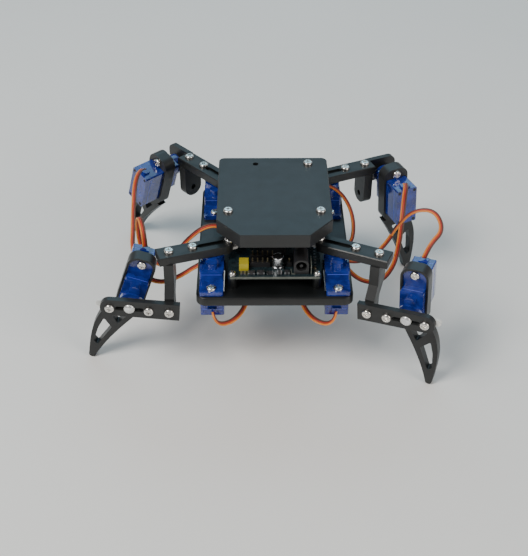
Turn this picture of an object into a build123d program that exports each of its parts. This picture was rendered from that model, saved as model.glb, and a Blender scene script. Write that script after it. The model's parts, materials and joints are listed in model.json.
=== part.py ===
from build123d import *
import os
from math import radians, tan

# Eight-servo walking robot.  Everything is drawn in the body frame (millimetres): X to the right for
# someone facing the robot's front, Y to the back, Z up, origin on the base plate's top face midway
# between the four hip shafts.  The whole robot is then stood on its feet with +Z up, the origin under
# its middle on the floor, and the front towards -Y.

# ---- driving dimensions -------------------------------------------------------------------------
HIP_X = 32.0            # hip shafts either side of the middle
HIP_Y = 33.9            # hip shafts in front of and behind the middle
BASE_WIDTH = 79.6
BASE_FRONT = -56.9
BASE_REAR = 45.5
BASE_THICK = 4.8
BASE_CORNER = 5.0

COVER_HALF_WIDTH = 29.2
COVER_FRONT = -48.3
COVER_SHOULDER = -34.7  # where the front corners start to be cut off
COVER_NOSE_HALF = 17.3
COVER_REAR = 24.5
COVER_TOP = 32.5
COVER_SKIRT = 7.3
COVER_SKIN = 2.5
COVER_SCREWS = [(-23.4, -27.3), (23.4, -27.3), (18.8, 18.0)]
COVER_SPARE_HOLE = (-9.4, 18.0)
COVER_HOLE_RADIUS = 1.55

DECK_TOP = 22.8         # plate inside the cover that the cover is screwed to
DECK_THICK = 2.4
DECK_WIDTH = 53.0
DECK_LENGTH = 56.0
DECK_MIDDLE_Y = -5.0
DECK_POSTS = [(-15.0, -10.0), (15.0, -10.0), (-15.0, 14.0), (15.0, 14.0)]
DECK_POST_RADIUS = 3.0

BOARD_WIDTH = 47.2
BOARD_FRONT = -49.4
BOARD_REAR = -15.4
BOARD_TOP = 7.8
BOARD_THICK = 1.6
BOARD_HOLES = [(-21.4, -47.2), (21.4, -47.2), (-21.4, -17.6), (21.4, -17.6)]
BOARD_POST_RADIUS = 2.2

# micro servo: shaft on Z, underside of the mounting ears at Z = 0, long end towards -Y
SERVO_WIDTH = 12.2
SERVO_NEAR = 5.9        # shaft to the near end of the case
SERVO_FAR = 16.9        # shaft to the far end of the case
SERVO_UPPER_FAR = 11.5  # the gear case above the ears stops short of the far end
SERVO_DEPTH = 15.9      # case below the ears
EAR_REACH = 4.7
EAR_THICK = 2.5
EAR_HOLE_NEAR = 8.5
EAR_HOLE_FAR = 18.6
GEAR_CASE_TOP = 8.0
TOWER_TOP = 12.0
TOWER_RADIUS = 5.9
BOSS_RADIUS = 2.9
BOSS_OFFSET = 7.6
OUTLET_REACH = 1.2      # lead grommet standing out of the end of the case
OUTLET_HEIGHT = 3.0     # its middle above the bottom of the case
SPLINE_RADIUS = 2.3
SPLINE_CLEARANCE = 0.07
SPLINE_ENGAGEMENT = 2.5

ARM_TOP = 17.1
ARM_THICK = 4.5
ARM_WIDTH = 10.0
ARM_INNER = 11.4        # inboard reach of the arm past the hip shaft
FRONT_ARM_OUTER = 28.5
REAR_ARM_OUTER = 27.0
ARM_SCREW = 10.0        # screw through the arm into the horn
WEB_SCREW = 22.4        # screw through the arm into the bracket
HORN_THICK = 1.6
HORN_GAP = 0.4
HORN_HUB_RADIUS = 2.8
HIP_HUB_TALL = 3.0
KNEE_HUB_TALL = 4.6
SLOT_DEPTH = 1.2        # blind slot in an arm's top over its horn
HIP_HORN_REACH = 14.0
FRONT_KNEE_HORN_REACH = 17.5
REAR_KNEE_HORN_REACH = 9.6
REAR_KNEE_HORN_HOLE = 7.5
HORN_ROOT = 2.8         # half widths of a horn's arm at the hub and at the tip
HORN_TIP = 1.9
INNER_SCREW = -9.4      # screw through the arm's inboard end

WEB_THICK = 5.0
WEB_HALF = 5.8
LINK_THICK = 3.0
LINK_HEIGHT = 10.0
LINK_FACE = 13.2        # front face of the link ahead of the bracket's middle
LINK_DROP = 28.8        # link's fixing screw below the arm's top
LINK_LENGTH = 20.5      # link's fixing screw to the knee shaft
LINK_INNER = 5.2        # link's inboard reach past its fixing screw
LINK_TILT = 4.6
REAR_KNEE = 35.0        # knee shaft outboard of the hip shaft on the back legs
REAR_KNEE_DROP = 9.5
REAR_WALL_THICK = 3.0
REAR_WALL_START = 25.2  # just outboard of the bracket tab
REAR_WALL_REACH = 8.5
REAR_WALL_TALL = 14.0
REAR_TAB_TALL = 24.0    # bottom of the back bracket's tab below the arm's top
REAR_TAB_HOLE = 18.6    # its unused hole below the arm's top

FRAME_RIM = 8.2         # front of the leg frame behind the end of the servo's gear tower
FRAME_THICK = 7.0
FRAME_HALF = 7.4
FOOT_THICK = 5.0
FOOT_PAD = 1.9
FOOT_TIP = (9.7, -49.8) # middle of the foot's rounded tip from a front knee shaft

SCREW_HEAD = 2.5
SCREW_SHANK = 1.1
SCREW_HEAD_TALL = 1.7
BOARD_SCREW_HEAD = 1.7
BOARD_SCREW_SHANK = 0.9

LEAD_RADIUS = 1.1

# each leg: side (-1 is left in the front view), front or back, swing of the arm away from the
# sideways direction (towards its own end of the body), twist of the bracket, lean of the lower leg
LEGS = {
    "front_left": dict(side=-1, end=-1, swing=17.6, web=-2.0, lean=19.0),
    "front_right": dict(side=1, end=-1, swing=23.9, web=23.9, lean=3.5),
    "rear_left": dict(side=-1, end=1, swing=47.1, web=47.1, lean=18.9),
    "rear_right": dict(side=1, end=1, swing=22.9, web=22.9, lean=3.7),
}

# the body stands a little nose-up and lower on its -X side
PITCH = -4.04
ROLL = -1.22
FLOOR = -55.616         # height of the floor under the body frame's origin
MIDDLE_X = -5.468       # middle of the settled robot from the body frame's origin
MIDDLE_Y = 1.132
SETTLE = Pos(-MIDDLE_X, -MIDDLE_Y, -FLOOR) * Rot(Y=ROLL) * Rot(X=PITCH)


# ---- small helpers ------------------------------------------------------------------------------
def block(x0, x1, y0, y1, z0, z1):
    return Pos((x0 + x1) / 2, (y0 + y1) / 2, (z0 + z1) / 2) * Box(x1 - x0, y1 - y0, z1 - z0)


def rod(x, y, z0, z1, radius):
    return Pos(x, y, (z0 + z1) / 2) * Cylinder(radius, z1 - z0)


def slab(outline, z0, z1):
    """A flat outline in XY, raised from z0 to z1."""
    return Pos(0, 0, z0) * extrude(outline, z1 - z0)


def screw(x, y, z, length, head_radius=SCREW_HEAD, shank=SCREW_SHANK):
    """Pan-head screw with a cross recess: head on the face at z, shank below."""
    head = rod(x, y, z, z + SCREW_HEAD_TALL, head_radius)
    head = fillet(head.edges().group_by(Axis.Z)[-1], SCREW_HEAD_TALL * 0.62)
    for turn in (0, 90):
        head -= Pos(x, y, z + SCREW_HEAD_TALL) * Rot(Z=turn) * Box(head_radius, 0.55, SCREW_HEAD_TALL)
    return head + rod(x, y, z - length, z + 0.1, shank)


def horn(reach, holes, hub_tall):
    """Double-arm servo horn on its splined shaft; top of the gear tower at z = 0."""
    low, high = HORN_GAP, HORN_GAP + HORN_THICK
    tip_at = reach - HORN_TIP
    half = Polygon((0, -HORN_ROOT), (tip_at, -HORN_TIP), (tip_at, HORN_TIP), (0, HORN_ROOT), align=None)
    half += Pos(tip_at, 0) * Circle(HORN_TIP)
    plate = slab(Circle(HORN_HUB_RADIUS + 0.2) + half + Rot(Z=180) * half, low, high)
    for x in holes:
        plate -= rod(x, 0, low - 1, high + 1, SCREW_SHANK)
    hub = rod(0, 0, low, low + hub_tall, HORN_HUB_RADIUS)
    return plate + hub + rod(0, 0, 0.3 - SPLINE_ENGAGEMENT, low + 0.1, SPLINE_RADIUS)


def servo(ear_corner, lead_end=-SERVO_FAR):
    """Micro servo with a bore in its gear tower for the horn's shaft; its lead leaves at lead_end."""
    half = SERVO_WIDTH / 2
    case = block(-half, half, -SERVO_FAR, SERVO_NEAR, -SERVO_DEPTH, EAR_THICK)
    case = fillet(case.edges().filter_by(Axis.Z), 0.8)
    ears = Pos(0, (SERVO_NEAR - SERVO_FAR) / 2) * RectangleRounded(
        SERVO_WIDTH, SERVO_NEAR + SERVO_FAR + 2 * EAR_REACH, ear_corner)
    ears = slab(ears, 0, EAR_THICK)
    for y in (EAR_HOLE_NEAR, -EAR_HOLE_FAR):
        ears -= rod(0, y, -1, EAR_THICK + 1, SCREW_SHANK)
    upper = block(-half, half, -SERVO_UPPER_FAR, SERVO_NEAR, EAR_THICK - 0.2, GEAR_CASE_TOP)
    upper = fillet(upper.edges().filter_by(Axis.Z), 0.8)
    body = case + ears + upper
    body += rod(0, 0, GEAR_CASE_TOP - 0.2, TOWER_TOP, TOWER_RADIUS)
    body += rod(0, -BOSS_OFFSET, GEAR_CASE_TOP - 0.2, TOWER_TOP - 0.6, BOSS_RADIUS)
    body -= rod(0, 0, TOWER_TOP - SPLINE_ENGAGEMENT, TOWER_TOP + 1, SPLINE_RADIUS + SPLINE_CLEARANCE)
    outlet = Pos(0, lead_end, OUTLET_HEIGHT - SERVO_DEPTH) * Box(4.8, 2 * OUTLET_REACH, 4.0)
    return body + outlet


def hip(leg):
    return leg["side"] * HIP_X, leg["end"] * HIP_Y


def arm_frame(leg):
    """Local frame of a leg's arm: X outboard along the arm, Y away from the middle pair, Z up."""
    x, y = hip(leg)
    way = leg["side"] * leg["end"]
    return Pos(x, y, 0) * Rot(Z=way * leg["swing"]) * Rot(Z=0 if leg["side"] > 0 else 180)


# ---- body ---------------------------------------------------------------------------------------
def base_plate():
    length = BASE_REAR - BASE_FRONT
    plate = Pos(0, (BASE_REAR + BASE_FRONT) / 2) * RectangleRounded(BASE_WIDTH, length, BASE_CORNER)
    plate = slab(plate, -BASE_THICK, 0)
    plate = fillet(plate.edges().group_by(Axis.Z)[-1], 0.8)
    pocket = SERVO_WIDTH / 2 + 0.35
    for leg in LEGS.values():
        x, y = hip(leg)
        plate -= block(x - pocket, x + pocket, y - SERVO_FAR - 0.35, y + SERVO_NEAR + 0.35, -9, 1)
        for hole in (EAR_HOLE_NEAR, -EAR_HOLE_FAR):
            plate -= rod(x, y + hole, -9, 1, SCREW_SHANK)
    plate -= slab(Pos(0, 4) * RectangleRounded(24, 14, 3), -9, 1)
    for x, y in BOARD_HOLES:
        plate += rod(x, y, -0.5, BOARD_TOP - BOARD_THICK, BOARD_POST_RADIUS)
        plate -= rod(x, y, 1.0, BOARD_TOP, BOARD_SCREW_SHANK)
    return plate


def top_cover():
    def outline(inset):
        side = COVER_HALF_WIDTH - inset
        nose = COVER_NOSE_HALF - inset * 0.4
        rear = COVER_REAR - inset
        corner = 3.0
        face = Polygon(
            (-nose, COVER_FRONT + inset), (nose, COVER_FRONT + inset),
            (side, COVER_SHOULDER + inset * 0.4), (side, rear),
            (-side, rear), (-side, COVER_SHOULDER + inset * 0.4), align=None)
        return fillet(face.vertices().group_by(Axis.Y)[-1], corner)
    shell = slab(outline(0), COVER_TOP - COVER_SKIRT, COVER_TOP)
    shell = chamfer(shell.edges().group_by(Axis.Z)[-1], 0.35)
    shell -= slab(outline(COVER_SKIN), COVER_TOP - COVER_SKIRT - 1, COVER_TOP - COVER_SKIN)
    dip = Polygon((-17, COVER_REAR + 1), (17, COVER_REAR + 1), (14, COVER_REAR - 1.2),
                  (-14, COVER_REAR - 1.2), align=None)
    shell -= slab(dip, COVER_TOP - COVER_SKIRT - 1, COVER_TOP + 1)
    for x, y in COVER_SCREWS + [COVER_SPARE_HOLE]:
        shell -= rod(x, y, COVER_TOP - 9, COVER_TOP + 1, COVER_HOLE_RADIUS)
    return shell


def upper_deck():
    outline = Pos(0, DECK_MIDDLE_Y) * RectangleRounded(DECK_WIDTH, DECK_LENGTH, 6)
    deck = slab(outline, DECK_TOP - DECK_THICK, DECK_TOP)
    for x, y in COVER_SCREWS:
        deck += rod(x, y, DECK_TOP - 0.5, COVER_TOP - COVER_SKIN, 2.6)
        deck -= rod(x, y, DECK_TOP - 4, COVER_TOP, SCREW_SHANK)
    return deck


def deck_posts():
    return [rod(x, y, 0, DECK_TOP - DECK_THICK, DECK_POST_RADIUS) for x, y in DECK_POSTS]


def controller_board():
    board = block(-BOARD_WIDTH / 2, BOARD_WIDTH / 2, BOARD_FRONT, BOARD_REAR,
                  BOARD_TOP - BOARD_THICK, BOARD_TOP)
    board = fillet(board.edges().filter_by(Axis.Z), 1.0)
    for x, y in BOARD_HOLES:
        board -= rod(x, y, 0, BOARD_TOP + 1, 1.1)
    return board


def power_jack():
    """Barrel socket: arched front with a deep round opening and a centre pin."""
    middle, front, back, width, tall = 13.4, -47.4, -35.6, 7.6, 8.6
    body = block(middle - width / 2, middle + width / 2, front, back, BOARD_TOP, BOARD_TOP + tall)
    body = fillet(body.edges().filter_by(Axis.Y).group_by(Axis.Z)[-1], 3.0)
    centre = BOARD_TOP + tall - width / 2
    lying = Rot(X=90)
    body -= Pos(middle, front + 4, centre) * lying * Cylinder(2.8, 9)
    return body + Pos(middle, front + 4.6, centre) * lying * Cylinder(0.9, 8)


def capacitor():
    x, y, half = 1.7, -40.8, 3.0
    can = rod(x, y, BOARD_TOP + 0.8, BOARD_TOP + 6.6, half - 0.1)
    can = fillet(can.edges().group_by(Axis.Z)[-1], 0.5)
    return can + block(x - half, x + half, y - half, y + half, BOARD_TOP, BOARD_TOP + 1.0)


def relay_block():
    return block(-18.0, -13.2, -44.6, -39.0, BOARD_TOP, BOARD_TOP + 4.3)


def pin_headers():
    """Black header strips with their pins behind the other components."""
    pitch = 2.54
    strips = []
    for x0, y, count in ((-12.4, -41.5, 4), (-12.4, -35.5, 5), (6.2, -41.5, 1)):
        strip = block(x0, x0 + pitch * count, y, y + 2.5, BOARD_TOP, BOARD_TOP + 2.6)
        for i in range(count):
            middle = x0 + pitch * (i + 0.5)
            strip += block(middle - 0.32, middle + 0.32, y + 0.93, y + 1.57, BOARD_TOP + 2, BOARD_TOP + 5)
        strips.append(strip)
    return strips


def small_parts():
    """Chips and passives in a row along the board's front edge, and the main chip further back."""
    pieces = []
    row = [(-16.0, 2.4), (-11.8, 3.4), (-7.0, 3.6), (-2.4, 3.2), (2.4, 2.4), (6.2, 2.4)]
    for i, (x, wide) in enumerate(row):
        tall = 0.9 + 0.3 * (i % 3)
        pieces.append(block(x - wide / 2, x + wide / 2, -47.9, -45.7, BOARD_TOP, BOARD_TOP + tall))
    pieces.append(block(-7.0, 5.4, -31.5, -23.5, BOARD_TOP, BOARD_TOP + 1.2))
    return pieces


# ---- legs ---------------------------------------------------------------------------------------
def hip_horn(leg):
    shape = horn(HIP_HORN_REACH, (INNER_SCREW, ARM_SCREW), HIP_HUB_TALL)
    return arm_frame(leg) * Pos(0, 0, TOWER_TOP) * shape


def arm_blank(outer, width_from, width_to):
    """Straight arm with its screw holes, the horn's groove underneath and a blind slot over the hub."""
    low = ARM_TOP - ARM_THICK
    half = ARM_WIDTH / 2
    outline = Pos(-ARM_INNER + half, 0) * Circle(half)
    outline += Polygon((-ARM_INNER + half, -half), (outer, width_from), (outer, width_to),
                       (-ARM_INNER + half, half), align=None)
    body = slab(outline, low, ARM_TOP)
    body = chamfer(body.edges().group_by(Axis.Z)[-1], 0.4)
    groove_top = TOWER_TOP + HORN_GAP + HORN_THICK
    body -= block(-ARM_INNER - 1, HIP_HORN_REACH + 0.6, -3.1, 3.1, low - 1, groove_top)
    body -= rod(0, 0, low - 1, groove_top, HORN_HUB_RADIUS + 0.5)
    body -= rod(0, 0, low - 1, TOWER_TOP + HORN_GAP + HIP_HUB_TALL + 0.1, HORN_HUB_RADIUS + 0.05)
    body -= slab(SlotOverall(15.0, 3.0), ARM_TOP - SLOT_DEPTH, ARM_TOP + 1)
    for x in (INNER_SCREW, ARM_SCREW, WEB_SCREW):
        body -= rod(x, 0, low - 1, ARM_TOP + 1, SCREW_SHANK)
    return body


def rear_wall(far):
    """Upright wall on the far side of a back arm that carries the knee horn."""
    outer = REAR_KNEE + REAR_WALL_REACH
    low = ARM_TOP - REAR_WALL_TALL
    wall = block(REAR_WALL_START, outer, far - REAR_WALL_THICK, far, low, ARM_TOP)
    wall = fillet(wall.edges().filter_by(Axis.Y).group_by(Axis.X)[-1], 4.0)
    shaft_z = ARM_TOP - REAR_KNEE_DROP
    wall -= Pos(REAR_KNEE, far, shaft_z) * Rot(X=90) * Cylinder(HORN_HUB_RADIUS + 0.05, 20)
    return wall


def arm(leg):
    half = ARM_WIDTH / 2
    if leg["end"] < 0:
        return arm_frame(leg) * arm_blank(FRONT_ARM_OUTER, -half, half)
    wall = rear_wall(half)
    if back_side(leg) < 0:
        wall = mirror(wall, Plane.XZ)
    return arm_frame(leg) * (arm_blank(REAR_ARM_OUTER, -half, half) + wall)


def back_side(leg):
    """Local Y of the arm frame that faces the robot's back."""
    return 1 if leg["side"] > 0 else -1


def rear_bracket(leg):
    """Flat tab hanging from a back arm, with an unused hole near its rounded end."""
    low = ARM_TOP - ARM_THICK
    bottom = ARM_TOP - REAR_TAB_TALL
    tab = block(WEB_SCREW - WEB_THICK / 2, WEB_SCREW + WEB_THICK / 2, -WEB_HALF, WEB_HALF, bottom, low)
    tab = fillet(tab.edges().filter_by(Axis.X).group_by(Axis.Z)[0], WEB_HALF - 0.3)
    tab -= Pos(WEB_SCREW, 0, ARM_TOP - REAR_TAB_HOLE) * Rot(Y=90) * Cylinder(1.6, 20)
    tab -= rod(WEB_SCREW, 0, low - 9, low + 1, SCREW_SHANK)
    return arm_frame(leg) * tab


def web_frame(leg):
    """Frame of a front bracket: origin on the arm's outer screw at its top, X outboard, Y back."""
    x, y, _ = (arm_frame(leg) * Pos(WEB_SCREW, 0, 0)).position
    turn = leg["side"] * leg["end"] * leg["web"]
    return Pos(x, y, ARM_TOP) * Rot(Z=turn) * Rot(Z=0 if leg["side"] > 0 else 180)


def front_bracket(leg):
    """Bracket hanging from a front arm that steps forward to meet the link plate."""
    back = back_side(leg)
    reach = LINK_FACE - LINK_THICK
    side = [(WEB_HALF, -ARM_THICK), (-WEB_HALF, -ARM_THICK), (-WEB_HALF, -16.0),
            (-reach, -22.5), (-reach, -LINK_DROP - 4.6), (-2.5, -LINK_DROP - 4.6),
            (-1.5, -24.0), (WEB_HALF, -17.5)]
    outline = Polygon(*[(back * y, z) for y, z in side], align=None)
    body = extrude(Plane.YZ * outline, WEB_THICK / 2, both=True)
    body -= rod(0, 0, -ARM_THICK - 9, -ARM_THICK + 1, SCREW_SHANK)
    body -= Pos(0, -back * reach, -LINK_DROP) * Rot(X=90) * Cylinder(SCREW_SHANK, 12)
    return web_frame(leg) * body


def link_frame(leg):
    """Frame of a front link: origin at its fixing screw on the bracket's front edge."""
    tilt = -LINK_TILT
    return web_frame(leg) * Pos(0, 0, -LINK_DROP) * Rot(Y=tilt)


def link_plate(leg):
    back = back_side(leg)
    half = LINK_HEIGHT / 2
    inner = -LINK_INNER
    outer = LINK_LENGTH + ARM_SCREW
    outline = Polygon((inner, -half), (outer, -half), (outer, half), (inner, half), align=None)
    outline += Pos(outer, 0) * Circle(half)
    face = -back * LINK_FACE
    plate = extrude(Plane.XZ * outline, LINK_THICK / 2, both=True)
    plate -= Pos(LINK_LENGTH, 0, 0) * Rot(X=90) * Cylinder(HORN_HUB_RADIUS + 0.05, 20)
    slot = extrude(Plane.XZ * (Pos(LINK_LENGTH, 0) * SlotOverall(14.6, 2.4)), 10, both=True)
    plate -= slot
    for x in (0, LINK_LENGTH - ARM_SCREW, LINK_LENGTH + ARM_SCREW):
        plate -= Pos(x, 0, 0) * Rot(X=90) * Cylinder(SCREW_SHANK, 20)
    return link_frame(leg) * Pos(0, face + back * LINK_THICK / 2, 0) * plate


def knee_frame(leg):
    """Knee shaft frame before the leg's lean: shaft on Z pointing out of the servo, X outboard."""
    back = back_side(leg)
    if leg["end"] < 0:
        tower = -back * (LINK_FACE - LINK_THICK - HORN_THICK - HORN_GAP)
        origin = link_frame(leg) * Pos(LINK_LENGTH, tower, 0)
        facing = -back
        turn = Rot(Y=LINK_TILT)
    else:
        tower = back * (ARM_WIDTH / 2 - REAR_WALL_THICK - HORN_THICK - HORN_GAP)
        origin = arm_frame(leg) * Pos(REAR_KNEE, tower, ARM_TOP - REAR_KNEE_DROP)
        facing = back
        turn = Rot(Y=0)
    # facing is the sign of local Y that the shaft points along
    return origin, facing, turn


def in_knee(leg, shape, leaning):
    """Place a shape drawn with the shaft on Y pointing to -Y, X outboard and Z up at the knee."""
    origin, facing, turn = knee_frame(leg)
    if facing > 0:
        shape = mirror(shape, Plane.XZ)
    lean = Rot(Y=-leg["lean"]) if leaning else Rot(Y=0)
    return origin * turn * lean * shape


def knee_horn(leg):
    front = leg["end"] < 0
    reach = FRONT_KNEE_HORN_REACH if front else REAR_KNEE_HORN_REACH
    hole = ARM_SCREW if front else REAR_KNEE_HORN_HOLE
    shape = Rot(X=90) * horn(reach, (-hole, hole), KNEE_HUB_TALL)
    origin, facing, _ = knee_frame(leg)
    if facing > 0:
        shape = mirror(shape, Plane.XZ)
    return origin * shape


def knee_servo(leg):
    front = leg["end"] < 0
    lead_end = -SERVO_FAR if front else SERVO_NEAR
    shape = Rot(X=90) * Pos(0, 0, -TOWER_TOP) * servo(4.6, lead_end)
    # the shaft now points to -Y and the long end down; beside the front knees the long end is up
    if front:
        shape = Rot(Y=180) * shape
    return in_knee(leg, shape, True)


def ear_heights(leg):
    """Heights of the knee servo's two ear screws above the knee shaft, upper one first."""
    if leg["end"] < 0:
        return EAR_HOLE_FAR, -EAR_HOLE_NEAR
    return EAR_HOLE_NEAR, -EAR_HOLE_FAR


def leg_frame(leg):
    """Frame round the knee servo with a curved, windowed foot below, in one piece."""
    front = leg["end"] < 0
    middle = (SERVO_FAR - SERVO_NEAR) / 2
    drop = 0 if front else -2 * middle
    centre = middle + drop
    rim, back = FRAME_RIM, FRAME_RIM + FRAME_THICK
    half_long = (SERVO_NEAR + SERVO_FAR) / 2 + EAR_REACH
    wall = FRAME_HALF - SERVO_WIDTH / 2
    outer = RectangleRounded(2 * FRAME_HALF, 2 * (half_long + wall), 5.4)
    body = extrude(Plane.XZ * (Pos(0, centre) * outer), -(back - rim))
    body = Pos(0, rim, 0) * body
    ear_front = TOWER_TOP - EAR_THICK
    pocket = RectangleRounded(SERVO_WIDTH + 0.3, 2 * half_long + 0.3, 4.7)
    pocket = extrude(Plane.XZ * (Pos(0, centre) * pocket), -(ear_front + EAR_THICK - rim + 1))
    body -= Pos(0, rim - 1, 0) * pocket
    gap = 0.15
    window = block(-SERVO_WIDTH / 2 - gap, SERVO_WIDTH / 2 + gap, rim - 1, back + 1,
                   centre - half_long + EAR_REACH - gap, centre + half_long - EAR_REACH + gap)
    body -= window
    lead_notch = block(-3.0, 3.0, rim + 3.6, back + 1, 0, half_long - EAR_REACH + 1.6 + centre)
    if front:
        body -= lead_notch
    body += Pos(0, rim + 1.0, drop) * foot()
    for z in ear_heights(leg):
        body -= Pos(0, rim, z) * Rot(X=90) * Cylinder(SCREW_HEAD + 0.1, 2 * (ear_front - rim))
        body -= Pos(0, back, z) * Rot(X=90) * Cylinder(SCREW_SHANK, 2 * FRAME_THICK)
    return in_knee(leg, body, True)


def foot():
    """Curved claw under the leg frame; X outboard, Z up, origin at a front knee shaft."""
    tip_x, tip_z = FOOT_TIP
    top = -11.5
    outer_edge = Spline((8.6, top), (12.9, -21.0), (13.9, -33.0), (tip_x + FOOT_PAD, tip_z - 0.2))
    inner_edge = Spline((tip_x - FOOT_PAD + 0.2, tip_z - 0.9), (4.6, -38.0), (-0.6, -25.0), (-7.2, top))
    tip_arc = ThreePointArc(outer_edge @ 1, (tip_x + 0.1, tip_z - FOOT_PAD), inner_edge @ 0)
    closing = Line(inner_edge @ 1, outer_edge @ 0)
    claw = make_face([outer_edge, tip_arc, inner_edge, closing])
    upper_window = Polygon((8.4, -16.4), (-1.6, -16.4), (2.2, -23.8), align=None)
    lower_window = make_face([
        Polyline((4.4, -27.6), (9.9, -22.6), (11.2, -30.0), (11.3, -40.0)),
        Polyline((11.3, -40.0), (8.8, -42.0), (4.4, -27.6))])
    claw -= fillet(upper_window.vertices(), 0.6)
    claw -= fillet(lower_window.vertices(), 0.6)
    return extrude(Plane.XZ * claw, -FOOT_THICK)


def arm_screws(leg):
    """Screws through the arm into the horn and bracket, and through the link or wall at the knee."""
    frame = arm_frame(leg)
    pieces = [frame * screw(x, 0, ARM_TOP, 3.4) for x in (INNER_SCREW, ARM_SCREW)]
    pieces.append(frame * screw(WEB_SCREW, 0, ARM_TOP, 9.0))
    if leg["end"] < 0:
        back = back_side(leg)
        for x, length in ((0, 8.0), (LINK_LENGTH - ARM_SCREW, 4.4), (LINK_LENGTH + ARM_SCREW, 4.4)):
            driven = Rot(X=90) * screw(0, 0, 0, length)
            if back < 0:
                driven = mirror(driven, Plane.XZ)
            pieces.append(link_frame(leg) * Pos(x, -back * LINK_FACE, 0) * driven)
    return pieces


def leg_screws(leg):
    """Screws through the servo's ears; on the back legs the upper one is driven from behind."""
    upper, _ = ear_heights(leg)
    pieces = []
    for z in ear_heights(leg):
        if leg["end"] > 0 and z == upper:
            driven = Rot(X=-90) * screw(0, 0, 0, 5.6)
            shape = Pos(0, FRAME_RIM + FRAME_THICK, z) * driven
        else:
            driven = Rot(X=90) * screw(0, 0, 0, 5.0)
            shape = Pos(0, TOWER_TOP - EAR_THICK, z) * driven
        pieces.append(in_knee(leg, shape, True))
    return pieces


def hip_servo(leg):
    x, y = hip(leg)
    return Pos(x, y, 0) * servo(1.2)


def hip_servo_screws():
    pieces = []
    for leg in LEGS.values():
        x, y = hip(leg)
        for hole in (EAR_HOLE_NEAR, -EAR_HOLE_FAR):
            pieces.append(screw(x, y + hole, EAR_THICK, 6.5))
    return pieces


def board_screws():
    return [screw(x, y, BOARD_TOP, 5.0, BOARD_SCREW_HEAD, BOARD_SCREW_SHANK) for x, y in BOARD_HOLES]


# ---- leads --------------------------------------------------------------------------------------
def lead(points):
    """Tube along straight runs with an arc at each corner; radius from the shorter run."""
    vectors = [Vector(*p) for p in points]
    radii = []
    for before, corner, after in zip(vectors, vectors[1:], vectors[2:]):
        run_in, run_out = corner - before, after - corner
        half_turn = radians(run_in.get_angle(run_out)) / 2
        radii.append(0.45 * min(run_in.length, run_out.length) / tan(half_turn))
    path = FilletPolyline(*vectors, radius=radii)
    section = Plane(origin=path @ 0, z_dir=path % 0) * Circle(LEAD_RADIUS)
    return sweep(section, path=path)


# Route of each knee servo's lead from its outlet to the body, in the body frame.  The lead is in two
# lengths that meet halfway along the run after the point numbered "meet".
KNEE_LEADS = {
    "front_left": dict(meet=3, points=[
        (-67.3, -23.5, 7.8), (-67.6, -22.0, 14.5), (-70.0, -13.5, 19.5), (-72.5, -5.0, 13.0),
        (-73.0, -3.5, -0.5), (-70.5, -7.0, -10.5), (-61.0, -11.0, -14.5), (-53.5, -13.0, -6.0),
        (-46.0, -13.5, 5.0), (-37.0, -12.0, 12.5), (-28.0, -11.0, 13.0), (-20.0, -15.6, 9.8)]),
    "front_right": dict(meet=5, points=[
        (76.9, -35.5, 8.8), (79.5, -33.0, 15.5), (87.0, -27.5, 20.5), (83.0, -20.0, 28.0),
        (72.0, -17.0, 26.0), (65.0, -15.5, 15.0), (60.0, -15.0, 3.0), (52.5, -15.0, -6.5),
        (43.0, -15.5, -9.5), (34.5, -15.5, -6.6)]),
    "rear_left": dict(meet=5, points=[
        (-72.4, 40.2, 15.5), (-73.5, 33.0, 20.5), (-76.0, 23.5, 18.0), (-76.5, 13.5, 10.0),
        (-76.6, 4.0, 1.5), (-77.0, -5.0, -8.5), (-73.0, -13.0, -18.0), (-62.0, -17.5, -21.5),
        (-51.0, -18.0, -16.5), (-42.0, -17.0, -10.0), (-35.0, -15.5, -7.0)]),
    "rear_right": dict(meet=4, points=[
        (73.5, 23.9, 15.9), (73.0, 16.5, 20.5), (71.0, 7.0, 17.0), (69.5, -2.0, 8.5),
        (68.0, -8.5, -3.0), (65.5, -13.0, -14.5), (58.0, -16.5, -22.5), (47.5, -15.0, -22.0),
        (39.0, -12.0, -14.5), (34.0, -9.5, -6.8)]),
}
DECK_LEAD = [(20.0, 20.0, 17.0), (28.0, 19.5, 19.0), (36.5, 16.0, 16.5), (42.5, 9.5, 10.0),
             (44.5, 2.0, 1.5), (42.5, -2.5, -7.5), (34.5, -3.5, -10.5)]


def knee_lead(route):
    """The two lengths of a knee servo's lead: outlet to arm, and arm to body."""
    points, meet = route["points"], route["meet"]
    ends = zip(points[meet], points[meet + 1])
    joint = tuple((a + b) / 2 for a, b in ends)
    return lead(points[:meet + 1] + [joint]), lead([joint] + points[meet + 1:])


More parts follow.
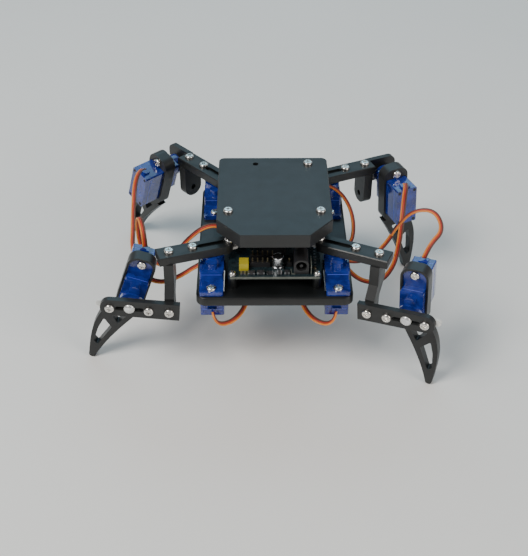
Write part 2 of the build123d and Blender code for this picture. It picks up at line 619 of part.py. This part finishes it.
def build():
    nodes = {
        "base_plate": base_plate(),
        "top_cover": top_cover(),
        "cover_screws": [screw(x, y, COVER_TOP, 8.0) for x, y in COVER_SCREWS],
        "upper_deck": upper_deck(),
        "deck_posts": deck_posts(),
        "controller_board": controller_board(),
        "power_jack": power_jack(),
        "board_capacitor": capacitor(),
        "board_relay_block": relay_block(),
        "board_pin_headers": pin_headers(),
        "board_small_parts": small_parts(),
        "board_screws": board_screws(),
        "hip_servo_screws": hip_servo_screws(),
    }
    for name, leg in LEGS.items():
        nodes[f"hip_servo_{name}"] = hip_servo(leg)
        nodes[f"hip_horn_{name}"] = hip_horn(leg)
        nodes[f"arm_{name}"] = arm(leg)
        nodes[f"arm_screws_{name}"] = arm_screws(leg)
        nodes[f"knee_horn_{name}"] = knee_horn(leg)
        if leg["end"] < 0:
            nodes[f"bracket_{name}"] = front_bracket(leg)
            nodes[f"link_{name}"] = link_plate(leg)
        else:
            nodes[f"bracket_{name}"] = rear_bracket(leg)
        nodes[f"knee_servo_{name}"] = knee_servo(leg)
        nodes[f"leg_frame_{name}"] = leg_frame(leg)
        nodes[f"leg_screws_{name}"] = leg_screws(leg)
        nodes[f"knee_lead_{name}"], nodes[f"body_lead_{name}"] = knee_lead(KNEE_LEADS[name])
    nodes["deck_lead"] = lead(DECK_LEAD)
    return nodes


os.makedirs("parts", exist_ok=True)
for name, shape in build().items():
    solids = shape if isinstance(shape, list) else shape.solids()
    moved = [SETTLE * solid for solid in solids]
    export_step(moved[0] if len(moved) == 1 else Compound(children=moved), f"parts/{name}.step")
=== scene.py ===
import bpy
import bmesh
import json
from math import cos, pi, radians, sin
from mathutils import Matrix, Vector


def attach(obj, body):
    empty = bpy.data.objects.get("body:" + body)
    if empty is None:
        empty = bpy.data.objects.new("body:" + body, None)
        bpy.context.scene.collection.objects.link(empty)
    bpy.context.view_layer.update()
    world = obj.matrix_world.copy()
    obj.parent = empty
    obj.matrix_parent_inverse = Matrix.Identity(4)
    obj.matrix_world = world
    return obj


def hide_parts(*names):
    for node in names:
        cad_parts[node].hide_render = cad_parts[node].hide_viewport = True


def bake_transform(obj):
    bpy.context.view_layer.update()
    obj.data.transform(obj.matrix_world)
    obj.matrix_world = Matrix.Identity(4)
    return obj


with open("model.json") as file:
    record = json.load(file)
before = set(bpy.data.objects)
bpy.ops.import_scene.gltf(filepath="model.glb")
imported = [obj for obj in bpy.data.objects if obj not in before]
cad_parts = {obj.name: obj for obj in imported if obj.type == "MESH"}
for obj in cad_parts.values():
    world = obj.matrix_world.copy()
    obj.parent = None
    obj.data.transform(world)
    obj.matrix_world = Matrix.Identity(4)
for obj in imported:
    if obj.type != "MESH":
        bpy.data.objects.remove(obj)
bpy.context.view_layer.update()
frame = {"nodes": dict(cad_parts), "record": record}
nodes = frame["nodes"]

# ---- dimensions that the looks need, in the body frame of the robot, in millimetres -------------
MM = 0.001
HIP_X, HIP_Y = 32.0, 33.9
PITCH, ROLL = -4.04, -1.22
MIDDLE_X, MIDDLE_Y, FLOOR = -5.468, 1.132, -55.616
ARM_TOP = 17.1
WEB_SCREW = 22.4
TOWER_TOP = 12.0
SERVO_WIDTH, SERVO_NEAR, SERVO_FAR, SERVO_DEPTH = 12.2, 5.9, 16.9, 15.9
SERVO_UPPER_FAR, EAR_THICK, GEAR_CASE_TOP = 11.5, 2.5, 8.0
LINK_FACE, LINK_THICK, LINK_DROP, LINK_LENGTH, LINK_TILT = 13.2, 3.0, 28.8, 20.5, 4.6
REAR_KNEE, REAR_KNEE_DROP = 35.0, 9.5
HORN_SEAT = 2.0         # arm side of the horn above the gear tower
HUB_TOP = 5.0           # top of a knee horn's hub above the gear tower
BOARD_TOP = 7.8
BOARD_HOLES_X, BOARD_HOLES_Y = (-21.4, 21.4), (-47.2, -17.6)
FRONT_ROW = [(-16.0, 2.4), (-11.8, 3.4), (-7.0, 3.6), (-2.4, 3.2), (2.4, 2.4), (6.2, 2.4)]   # x, width
PIN_STRIPS = [(-12.4, -41.5, 4), (-12.4, -35.5, 5), (6.2, -41.5, 1)]    # first x, y, pins
PIN_PITCH = 2.54
CAN_X, CAN_Y = 1.7, -40.8
HUB_SCREW_RADIUS = 2.75
LEGS = {
    "front_left": dict(side=-1, end=-1, swing=17.6, web=-2.0, lean=19.0),
    "front_right": dict(side=1, end=-1, swing=23.9, web=23.9, lean=3.5),
    "rear_left": dict(side=-1, end=1, swing=47.1, web=47.1, lean=18.9),
    "rear_right": dict(side=1, end=1, swing=22.9, web=22.9, lean=3.7),
}
# the leads' routes, as in the solid model; each knee lead is in two lengths that meet by the arm
KNEE_LEADS = {
    "front_left": dict(meet=3, points=[
        (-67.3, -23.5, 7.8), (-67.6, -22.0, 14.5), (-70.0, -13.5, 19.5), (-72.5, -5.0, 13.0),
        (-73.0, -3.5, -0.5), (-70.5, -7.0, -10.5), (-61.0, -11.0, -14.5), (-53.5, -13.0, -6.0),
        (-46.0, -13.5, 5.0), (-37.0, -12.0, 12.5), (-28.0, -11.0, 13.0), (-20.0, -15.6, 9.8)]),
    "front_right": dict(meet=5, points=[
        (76.9, -35.5, 8.8), (79.5, -33.0, 15.5), (87.0, -27.5, 20.5), (83.0, -20.0, 28.0),
        (72.0, -17.0, 26.0), (65.0, -15.5, 15.0), (60.0, -15.0, 3.0), (52.5, -15.0, -6.5),
        (43.0, -15.5, -9.5), (34.5, -15.5, -6.6)]),
    "rear_left": dict(meet=5, points=[
        (-72.4, 40.2, 15.5), (-73.5, 33.0, 20.5), (-76.0, 23.5, 18.0), (-76.5, 13.5, 10.0),
        (-76.6, 4.0, 1.5), (-77.0, -5.0, -8.5), (-73.0, -13.0, -18.0), (-62.0, -17.5, -21.5),
        (-51.0, -18.0, -16.5), (-42.0, -17.0, -10.0), (-35.0, -15.5, -7.0)]),
    "rear_right": dict(meet=4, points=[
        (73.5, 23.9, 15.9), (73.0, 16.5, 20.5), (71.0, 7.0, 17.0), (69.5, -2.0, 8.5),
        (68.0, -8.5, -3.0), (65.5, -13.0, -14.5), (58.0, -16.5, -22.5), (47.5, -15.0, -22.0),
        (39.0, -12.0, -14.5), (34.0, -9.5, -6.8)]),
}
HIP_LEAD = [(31.6, -52.0, -12.9), (31.0, -54.6, -16.0), (27.0, -53.5, -20.5), (20.0, -49.0, -20.5),
            (14.5, -44.0, -15.0), (12.0, -39.5, -6.6)]     # the one at +X; the other mirrors it
DECK_LEAD = [(20.0, 20.0, 17.0), (28.0, 19.5, 19.0), (36.5, 16.0, 16.5), (42.5, 9.5, 10.0),
             (44.5, 2.0, 1.5), (42.5, -2.5, -7.5), (34.5, -3.5, -10.5)]
WIRE_RADIUS = 0.47
WIRE_COLOURS = ("wire_orange", "wire_red", "wire_brown")


# ---- frames -------------------------------------------------------------------------------------
def turn(degrees, axis):
    return Matrix.Rotation(radians(degrees), 4, axis)


def shift(x, y, z):
    """A move given in millimetres."""
    return Matrix.Translation((x * MM, y * MM, z * MM))


SETTLE = shift(-MIDDLE_X, -MIDDLE_Y, -FLOOR) @ turn(ROLL, "Y") @ turn(PITCH, "X")


def settled(point):
    """A point of the body frame, in millimetres, to the shared frame, in metres."""
    return SETTLE @ (Vector(point) * MM)


def arm_frame(leg):
    """Origin on the hip shaft, X outboard along the arm, Z up."""
    way = leg["side"] * leg["end"]
    half = turn(0 if leg["side"] > 0 else 180, "Z")
    return SETTLE @ shift(leg["side"] * HIP_X, leg["end"] * HIP_Y, 0) @ turn(way * leg["swing"], "Z") @ half


def link_frame(leg):
    """Origin at the link's fixing screw, X along the link."""
    way = leg["side"] * leg["end"]
    place = (arm_frame(leg) @ shift(WEB_SCREW, 0, ARM_TOP)).to_translation()
    half = turn(0 if leg["side"] > 0 else 180, "Z")
    level = Matrix.Translation(place) @ SETTLE.to_quaternion().to_matrix().to_4x4()
    return level @ turn(way * leg["web"], "Z") @ half @ shift(0, 0, -LINK_DROP) @ turn(-LINK_TILT, "Y")


def back_side(leg):
    """Local Y of the arm frame that faces the robot's back."""
    return 1 if leg["side"] > 0 else -1


def knee_shaft(leg):
    """Origin at the top of the knee servo's gear tower, Z along its shaft and X outboard."""
    back = back_side(leg)
    if leg["end"] < 0:
        facing = -back
        tower = -back * (LINK_FACE - LINK_THICK - HORN_SEAT)
        origin = link_frame(leg) @ shift(LINK_LENGTH, tower, 0)
    else:
        facing = back
        origin = arm_frame(leg) @ shift(REAR_KNEE, 0, ARM_TOP - REAR_KNEE_DROP)
    return origin, facing


def mirrored(facing):
    """Shapes are drawn with the shaft towards local -Y; this turns them over where it points to +Y."""
    return Matrix.Diagonal((1, -1, 1, 1)) if facing > 0 else Matrix()


def knee_servo_frame(leg):
    """The knee servo's own frame: underside of its ears at Z = 0, long end towards -Y."""
    origin, facing = knee_shaft(leg)
    level = turn(LINK_TILT, "Y") if leg["end"] < 0 else Matrix()
    lean = turn(-leg["lean"], "Y")
    upright = turn(180, "Y") if leg["end"] < 0 else Matrix()
    return origin @ level @ lean @ mirrored(facing) @ upright @ turn(90, "X") @ shift(0, 0, -TOWER_TOP)


# ---- camera -------------------------------------------------------------------------------------
CAMERA_PLACE = (-10.06, -456.1, 324.9)      # in the body frame, in millimetres
CAMERA_DOWN = 0.6634                        # angles in radians, from the body frame's axes
CAMERA_HEADING = 0.0114
CAMERA_ROLL = 0.00348
CAMERA_LENS = 66.39


def make_camera():
    forward = Vector((sin(CAMERA_HEADING) * cos(CAMERA_DOWN), cos(CAMERA_HEADING) * cos(CAMERA_DOWN),
                      -sin(CAMERA_DOWN)))
    right = Vector((cos(CAMERA_HEADING), -sin(CAMERA_HEADING), 0))
    up = right.cross(forward)
    tilted_right = cos(CAMERA_ROLL) * right + sin(CAMERA_ROLL) * up
    tilted_up = cos(CAMERA_ROLL) * up - sin(CAMERA_ROLL) * right
    axes = Matrix((tilted_right, tilted_up, -forward)).transposed().to_4x4()
    data = bpy.data.cameras.new("camera")
    data.lens = CAMERA_LENS
    data.sensor_width = 36.0
    data.clip_start, data.clip_end = 0.02, 20.0
    camera = bpy.data.objects.new("camera", data)
    bpy.context.scene.collection.objects.link(camera)
    camera.matrix_world = SETTLE @ shift(*CAMERA_PLACE) @ axes
    bpy.context.scene.camera = camera


make_camera()


# ---- materials ----------------------------------------------------------------------------------
def material(name, dark, light, rough, metallic=0.0, grain=900.0, bump=0.08, blotch=60.0,
             transmission=0.0, coat=0.0, wear=0.0, sheen=0.0, specular=0.5):
    """Colour drifts between two tones; roughness and a fine bump come from noise of their own."""
    made = bpy.data.materials.new(name)
    made.use_nodes = True
    tree = made.node_tree
    shader = tree.nodes["Principled BSDF"]
    link = tree.links.new
    place = tree.nodes.new("ShaderNodeTexCoord")

    def noise(scale, detail):
        node = tree.nodes.new("ShaderNodeTexNoise")
        node.inputs["Scale"].default_value = scale
        node.inputs["Detail"].default_value = detail
        link(place.outputs["Object"], node.inputs["Vector"])
        return node

    ramp = tree.nodes.new("ShaderNodeValToRGB")
    ramp.color_ramp.elements[0].position = 0.32
    ramp.color_ramp.elements[1].position = 0.68
    ramp.color_ramp.elements[0].color = (*dark, 1)
    ramp.color_ramp.elements[1].color = (*light, 1)
    link(noise(blotch, 4).outputs["Fac"], ramp.inputs["Fac"])
    colour = ramp.outputs["Color"]
    if wear:
        edge = tree.nodes.new("ShaderNodeNewGeometry")
        sharp = tree.nodes.new("ShaderNodeMapRange")
        sharp.inputs["From Min"].default_value = 0.53
        sharp.inputs["From Max"].default_value = 0.62
        sharp.inputs["To Max"].default_value = wear
        link(edge.outputs["Pointiness"], sharp.inputs["Value"])
        worn = tree.nodes.new("ShaderNodeMix")
        worn.data_type = "RGBA"
        worn.inputs["B"].default_value = (0.07, 0.072, 0.075, 1)
        link(sharp.outputs["Result"], worn.inputs["Factor"])
        link(colour, worn.inputs["A"])
        colour = worn.outputs["Result"]
    link(colour, shader.inputs["Base Color"])
    spread = tree.nodes.new("ShaderNodeMapRange")
    spread.inputs["To Min"].default_value = rough * 0.8
    spread.inputs["To Max"].default_value = min(1.0, rough * 1.25)
    link(noise(blotch * 3, 3).outputs["Fac"], spread.inputs["Value"])
    link(spread.outputs["Result"], shader.inputs["Roughness"])
    raised = tree.nodes.new("ShaderNodeBump")
    raised.inputs["Strength"].default_value = bump
    raised.inputs["Distance"].default_value = 0.0001
    link(noise(grain, 2).outputs["Fac"], raised.inputs["Height"])
    link(raised.outputs["Normal"], shader.inputs["Normal"])
    shader.inputs["Metallic"].default_value = metallic
    shader.inputs["Transmission Weight"].default_value = transmission
    shader.inputs["Coat Weight"].default_value = coat
    shader.inputs["Coat Roughness"].default_value = 0.12
    shader.inputs["Sheen Weight"].default_value = sheen
    shader.inputs["Specular IOR Level"].default_value = specular
    return made


MATERIALS = {
    "black_plastic": material("black_plastic", (0.0030, 0.0036, 0.0038), (0.0068, 0.0080, 0.0084), 0.36,
                              grain=2600, bump=0.20, wear=0.22, specular=0.42),
    "servo_blue": material("servo_blue", (0.004, 0.017, 0.20), (0.018, 0.055, 0.44), 0.13, blotch=170,
                           grain=700, bump=0.05, transmission=0.34, coat=0.8),
    "nylon_white": material("nylon_white", (0.66, 0.66, 0.63), (0.82, 0.82, 0.80), 0.42, grain=1500,
                            bump=0.1),
    "screw_nickel": material("screw_nickel", (0.62, 0.59, 0.55), (0.82, 0.80, 0.77), 0.20, metallic=1.0,
                             grain=3000, bump=0.12, blotch=300),
    "circuit_board": material("circuit_board", (0.006, 0.012, 0.016), (0.014, 0.030, 0.036), 0.28,
                              blotch=420, grain=1500, bump=0.15, coat=0.3),
    "jack_black": material("jack_black", (0.012, 0.012, 0.013), (0.024, 0.024, 0.026), 0.42,
                           grain=2200, bump=0.2),
    "can_aluminium": material("can_aluminium", (0.55, 0.57, 0.60), (0.78, 0.79, 0.80), 0.24, metallic=1.0,
                              blotch=220, bump=0.08),
    "relay_yellow": material("relay_yellow", (0.30, 0.24, 0.012), (0.46, 0.38, 0.03), 0.36, bump=0.1),
    "header_black": material("header_black", (0.010, 0.010, 0.010), (0.020, 0.020, 0.022), 0.38,
                             bump=0.1),
    "chip_plastic": material("chip_plastic", (0.016, 0.016, 0.018), (0.034, 0.034, 0.038), 0.5,
                             grain=3000, bump=0.2),
    "wire_orange": material("wire_orange", (0.62, 0.17, 0.015), (0.82, 0.28, 0.03), 0.42, blotch=90,
                            bump=0.06, sheen=0.1),
    "wire_red": material("wire_red", (0.38, 0.020, 0.010), (0.55, 0.035, 0.015), 0.42, blotch=90,
                         bump=0.06, sheen=0.1),
    "wire_brown": material("wire_brown", (0.075, 0.022, 0.010), (0.13, 0.040, 0.018), 0.45, blotch=90,
                           bump=0.06, sheen=0.1),
    # lighter blue for the case-joint bands: a painted highlight along the joints, not the plastic's own
    # colour
    "painted_seam_highlight": material("painted_seam_highlight", (0.06, 0.10, 0.55), (0.12, 0.18, 0.75), 0.2, bump=0.1, coat=0.4),
    "gold_pin": material("gold_pin", (0.26, 0.21, 0.13), (0.42, 0.35, 0.22), 0.3, metallic=1.0,
                         bump=0.05),
    "hub_cap": material("hub_cap", (0.60, 0.61, 0.62), (0.84, 0.85, 0.86), 0.24, metallic=0.75,
                        grain=1800, bump=0.12, blotch=260),
    "solder": material("solder", (0.20, 0.21, 0.22), (0.36, 0.37, 0.38), 0.38, metallic=1.0,
                       grain=1200, bump=0.3),
    "board_edge": material("board_edge", (0.085, 0.095, 0.080), (0.15, 0.16, 0.14), 0.6, blotch=500,
                           bump=0.2),
    "dark_hole": material("dark_hole", (0.004, 0.004, 0.004), (0.009, 0.009, 0.009), 0.6, bump=0.1),
}


def dress_cad():
    """Each CAD node gets its slot's material; moulded pieces also get a small edge round."""
    moulded = ("black_plastic", "servo_blue", "nylon_white", "relay_yellow")
    for entry in frame["record"]["subparts"]:
        piece = nodes[entry["node"]]
        wanted = entry["material_slot"]
        chosen = MATERIALS.get(wanted, MATERIALS["wire_orange"])
        for index in range(len(piece.material_slots)):
            piece.material_slots[index].link = "OBJECT"
            piece.material_slots[index].material = chosen
        if wanted in moulded:
            edge = piece.modifiers.new("edge_round", "BEVEL")
            edge.width = 0.25 * MM
            edge.segments = 2
            edge.limit_method = "ANGLE"
            edge.angle_limit = radians(50)


dress_cad()


# ---- leads --------------------------------------------------------------------------------------
def smooth_line(name, points):
    """Points along a NURBS spline with the route as its control points."""
    curve = bpy.data.curves.new(name + "_line", "CURVE")
    curve.dimensions = "3D"
    curve.resolution_u = 14
    spline = curve.splines.new("NURBS")
    spline.points.add(len(points) - 1)
    for control, point in zip(spline.points, points):
        control.co = (*settled(point), 1)
    spline.order_u = 3
    spline.use_endpoint_u = True
    holder = bpy.data.objects.new(name + "_line", curve)
    bpy.context.scene.collection.objects.link(holder)
    bpy.context.view_layer.update()
    mesh = bpy.data.meshes.new_from_object(holder)
    line = [vertex.co.copy() for vertex in mesh.vertices]
    bpy.data.objects.remove(holder)
    bpy.data.meshes.remove(mesh)
    bpy.data.curves.remove(curve)
    return line


def ribbon(name, points, side_hint):
    """Three insulated wires side by side along the line, each with its own colour."""
    line = smooth_line(name, points)
    ring = 10
    radius = WIRE_RADIUS * MM
    mesh = bmesh.new()
    side = Vector(side_hint).normalized()
    for strand in range(3):
        offset = (strand - 1) * 2 * radius * 0.98
        rings = []
        across = side
        for i, point in enumerate(line):
            along = (line[min(i + 1, len(line) - 1)] - line[max(i - 1, 0)]).normalized()
            across = (across - across.dot(along) * along).normalized()
            other = along.cross(across)
            middle = point + across * offset
            angles = [2 * pi * k / ring for k in range(ring)]
            rings.append([mesh.verts.new(middle + radius * (cos(a) * across + sin(a) * other))
                          for a in angles])
        for first, second in zip(rings, rings[1:]):
            for k in range(ring):
                face = mesh.faces.new((first[k], first[(k + 1) % ring],
                                       second[(k + 1) % ring], second[k]))
                face.material_index = strand
                face.smooth = True
        for cap, order in ((rings[0], -1), (rings[-1], 1)):
            face = mesh.faces.new(cap[::order])
            face.material_index = strand
    bmesh.ops.recalc_face_normals(mesh, faces=mesh.faces)
    data = bpy.data.meshes.new(name)
    mesh.to_mesh(data)
    mesh.free()
    for colour in WIRE_COLOURS:
        data.materials.append(MATERIALS[colour])
    piece = bpy.data.objects.new(name, data)
    bpy.context.scene.collection.objects.link(piece)
    return piece, line


def declare(node=None):
    """Hides the plain CAD tube that a free lead stands for, where there is one; without a node it does
    nothing.
    """
    if node:
        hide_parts(node)


def make_leads():
    for name, route in KNEE_LEADS.items():
        points, meet = route["points"], route["meet"]
        joint = tuple((a + b) / 2 for a, b in zip(points[meet], points[meet + 1]))
        upper, upper_line = ribbon(f"knee_wires_{name}", points[:meet + 1] + [joint], (1, 0.2, 0))
        lower, lower_line = ribbon(f"body_wires_{name}", [joint] + points[meet + 1:], (1, 0.2, 0))
        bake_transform(upper)
        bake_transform(lower)
        declare(f"knee_lead_{name}")
        declare(f"body_lead_{name}")
    piece, line = ribbon("deck_wires", DECK_LEAD, (0.3, 1, 0))
    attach(piece, "chassis")
    declare("deck_lead")
    for name, side in (("front_left", -1), ("front_right", 1)):
        piece, line = ribbon(f"hip_wires_{name}", [(side * x, y, z) for x, y, z in HIP_LEAD], (0, 1, 0.3))
        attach(piece, "chassis")
        declare()


make_leads()


# ---- small pieces -------------------------------------------------------------------------------
def finish_piece(name, mesh, place, body, look, edge=0.0):
    """Turn a mesh drawn in its local frame into a piece that rides on a body."""
    bmesh.ops.recalc_face_normals(mesh, faces=mesh.faces)
    data = bpy.data.meshes.new(name)
    mesh.to_mesh(data)
    mesh.free()
    data.transform(place)
    if place.is_negative:
        data.flip_normals()
    data.materials.append(MATERIALS[look])
    piece = bpy.data.objects.new(name, data)
    bpy.context.scene.collection.objects.link(piece)
    if edge:
        rounded = piece.modifiers.new("edge_round", "BEVEL")
        rounded.width = edge * MM
        rounded.segments = 2
        rounded.limit_method = "ANGLE"
    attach(piece, body)
    return piece


def add_box(mesh, x0, x1, y0, y1, z0, z1):
    made = bmesh.ops.create_cube(mesh, size=1)["verts"]
    size = Matrix.Diagonal(((x1 - x0) * MM, (y1 - y0) * MM, (z1 - z0) * MM, 1))
    bmesh.ops.transform(mesh, verts=made, matrix=shift((x0 + x1) / 2, (y0 + y1) / 2, (z0 + z1) / 2) @ size)


def add_disc(mesh, x, y, z0, z1, radius, top_radius=None, sides=32):
    made = bmesh.ops.create_cone(mesh, cap_ends=True, segments=sides, radius1=radius * MM,
                                 radius2=(top_radius or radius) * MM, depth=(z1 - z0) * MM)["verts"]
    bmesh.ops.transform(mesh, verts=made, matrix=shift(x, y, (z0 + z1) / 2))


def servo_details(name, place, body):
    """Case joints as thin proud bands whose lighter blue is a painted highlight, and the case's four screws
    underneath.
    """
    half = SERVO_WIDTH / 2
    proud = 0.05
    seam_highlight_bands = bmesh.new()
    for z, far in ((-SERVO_DEPTH + 3.6, SERVO_FAR), (GEAR_CASE_TOP - 2.2, SERVO_UPPER_FAR)):
        corner = 0.9
        add_box(seam_highlight_bands, -half - proud, half + proud, -far + corner, SERVO_NEAR - corner, z, z + 0.3)
        add_box(seam_highlight_bands, -half + corner, half - corner, -far - proud, SERVO_NEAR + proud, z, z + 0.3)
    # the joint bands take the painted-highlight blue
    finish_piece(f"servo_seams_painted_highlight_{name}", seam_highlight_bands, place, body, "painted_seam_highlight")
    screws = bmesh.new()
    for x in (-half + 1.5, half - 1.5):
        for y in (-SERVO_FAR + 1.6, SERVO_NEAR - 1.6):
            add_disc(screws, x, y, -SERVO_DEPTH - 0.12, -SERVO_DEPTH + 0.2, 0.85, 1.0, 20)
    finish_piece(f"servo_case_screws_{name}", screws, place, body, "dark_hole")


def hub_screw(name, place, body):
    """Domed centre screw of a knee horn, seated in the mouth of the hub."""
    dome = bmesh.new()
    bmesh.ops.create_uvsphere(dome, u_segments=32, v_segments=16, radius=HUB_SCREW_RADIUS * MM)
    flatten = Matrix.Diagonal((1, 1, 0.42, 1))
    bmesh.ops.transform(dome, verts=dome.verts, matrix=shift(0, 0, HUB_TOP - 0.15) @ flatten)
    for face in dome.faces:
        face.smooth = True
    finish_piece(f"hub_screw_{name}", dome, place, body, "hub_cap")


def leg_details():
    for name, leg in LEGS.items():
        hip = SETTLE @ shift(leg["side"] * HIP_X, leg["end"] * HIP_Y, 0)
        servo_details(f"hip_{name}", hip, "chassis")
        servo_details(f"knee_{name}", knee_servo_frame(leg), f"leg_{name}")
        origin, facing = knee_shaft(leg)
        hub_screw(f"knee_{name}", origin @ mirrored(facing) @ turn(90, "X"), f"hip_{name}")


def board_details():
    """Pads, traces, pin tips and metal ends that make the board read as electronics."""
    pads = bmesh.new()
    for x in BOARD_HOLES_X:
        for y in BOARD_HOLES_Y:
            add_disc(pads, x, y, BOARD_TOP - 0.02, BOARD_TOP + 0.05, 2.05)
    for i in range(14):
        add_disc(pads, -12.0 + 1.9 * i, -21.0, BOARD_TOP - 0.02, BOARD_TOP + 0.10, 0.55, 0.3, 14)
    for i in range(9):
        add_disc(pads, 20.8, -43.0 + PIN_PITCH * i, BOARD_TOP - 0.02, BOARD_TOP + 0.12, 0.6, 0.3, 14)
    finish_piece("board_pads", pads, SETTLE, "chassis", "solder")
    edge = bmesh.new()
    add_box(edge, -22.6, 22.6, -49.46, -49.38, BOARD_TOP - 1.45, BOARD_TOP - 0.15)
    add_box(edge, 8.2, 8.7, -47.6, -43.4, BOARD_TOP, BOARD_TOP + 0.35)
    add_box(edge, 8.2, 10.4, -47.6, -47.1, BOARD_TOP, BOARD_TOP + 0.35)
    add_box(edge, 18.2, 18.6, -47.6, -39.0, BOARD_TOP, BOARD_TOP + 5.4)
    finish_piece("board_edges", edge, SETTLE, "chassis", "board_edge", edge=0.05)
    ends = bmesh.new()
    for i, (x, wide) in enumerate(FRONT_ROW):
        top = BOARD_TOP + 0.9 + 0.3 * (i % 3)
        for end in (-1, 1):
            middle = x + end * (wide / 2 - 0.25)
            add_box(ends, middle - 0.35, middle + 0.35, -47.97, -45.63, BOARD_TOP, top + 0.06)
    for side in (-1, 1):
        for i in range(10):
            x = -0.8 + 6.45 * side
            y = -31.0 + 0.78 * i
            add_box(ends, x - 0.45, x + 0.45, y, y + 0.32, BOARD_TOP, BOARD_TOP + 0.35)
    finish_piece("board_metal_ends", ends, SETTLE, "chassis", "solder")
    pins = bmesh.new()
    low, high = BOARD_TOP + 2.6, BOARD_TOP + 5.05
    for x0, y, count in PIN_STRIPS:
        for i in range(count):
            middle = x0 + PIN_PITCH * (i + 0.5)
            add_box(pins, middle - 0.36, middle + 0.36, y + 0.89, y + 1.61, low, high)
    finish_piece("board_pin_tips", pins, SETTLE, "chassis", "gold_pin", edge=0.08)
    lid = bmesh.new()
    add_disc(lid, CAN_X, CAN_Y, BOARD_TOP + 6.5, BOARD_TOP + 6.66, 2.0)
    finish_piece("can_lid", lid, SETTLE, "chassis", "dark_hole")
    band = bmesh.new()
    add_disc(band, CAN_X, CAN_Y, BOARD_TOP + 1.5, BOARD_TOP + 1.9, 2.95)
    finish_piece("can_band", band, SETTLE, "chassis", "dark_hole")
    button = bmesh.new()
    add_disc(button, 20.4, -42.6, BOARD_TOP + 0.05, BOARD_TOP + 0.9, 0.95, 0.8, 20)
    finish_piece("board_button", button, SETTLE, "chassis", "gold_pin")


leg_details()
board_details()


# ---- floor and light ----------------------------------------------------------------------------
def make_floor():
    bpy.ops.mesh.primitive_plane_add(size=6, location=(0, 0, 0))
    floor = bpy.context.object
    floor.name = "floor"
    floor.data.materials.append(material("floor_paper", (0.80, 0.79, 0.77), (0.83, 0.82, 0.80), 0.75,
                                         blotch=4, grain=300, bump=0.05))


def soft_light(name, place, aim, size, power, colour):
    """An area light at a place, turned towards a point."""
    data = bpy.data.lights.new(name, "AREA")
    data.shape = "RECTANGLE"
    data.size, data.size_y = size
    data.energy = power
    data.color = colour
    light = bpy.data.objects.new(name, data)
    bpy.context.scene.collection.objects.link(light)
    light.location = place
    light.rotation_mode = "QUATERNION"
    light.rotation_quaternion = (Vector(aim) - Vector(place)).to_track_quat("-Z", "Y")


def make_light():
    world = bpy.data.worlds.new("studio")
    world.use_nodes = True
    world.node_tree.nodes["Background"].inputs["Color"].default_value = (0.95, 0.97, 1.0, 1)
    world.node_tree.nodes["Background"].inputs["Strength"].default_value = 0.30
    bpy.context.scene.world = world
    soft_light("back", (0.1, 1.0, 0.95), (0, 0, 0.05), (1.6, 0.7), 6.0, (0.42, 0.80, 1.0))
    soft_light("key", (-0.7, -0.5, 1.1), (0, 0, 0.04), (0.5, 0.5), 15, (1.0, 0.97, 0.92))
    soft_light("fill", (0.9, -0.7, 0.6), (0, 0, 0.04), (0.7, 0.7), 6, (1.0, 0.93, 0.86))


make_floor()
make_light()
